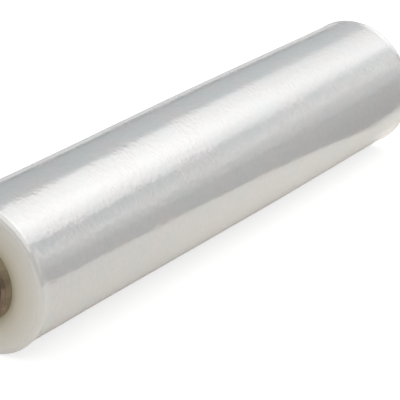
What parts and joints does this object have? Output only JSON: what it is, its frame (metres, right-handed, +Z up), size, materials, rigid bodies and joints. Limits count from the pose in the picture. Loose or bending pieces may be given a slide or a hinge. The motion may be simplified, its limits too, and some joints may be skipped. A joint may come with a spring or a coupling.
{
  "type": "stretch wrap roll",
  "caption": "Roll of clear stretch film wound on an open paper tube that stands a little proud at both ends, lying on its side.",
  "frame": {"origin": "under the roll's middle, in the plane of the flat that it rests on", "axes": "+X along the roll towards its wider half, +Z up, +Y to the side where the film's free end lies"},
  "size_m": [0.512, 0.1148, 0.1134],
  "materials": {
    "clear_film": "clear polyethylene film, glossy and wrinkled round the roll, milky where its many turns lie on each other",
    "paper_tube": "spirally wound brown paper plies, with knife-cut ends"
  },
  "bodies": {
    "root": {"stretch_film": "clear_film", "core_tube": "paper_tube"}
  },
  "joints": []
}
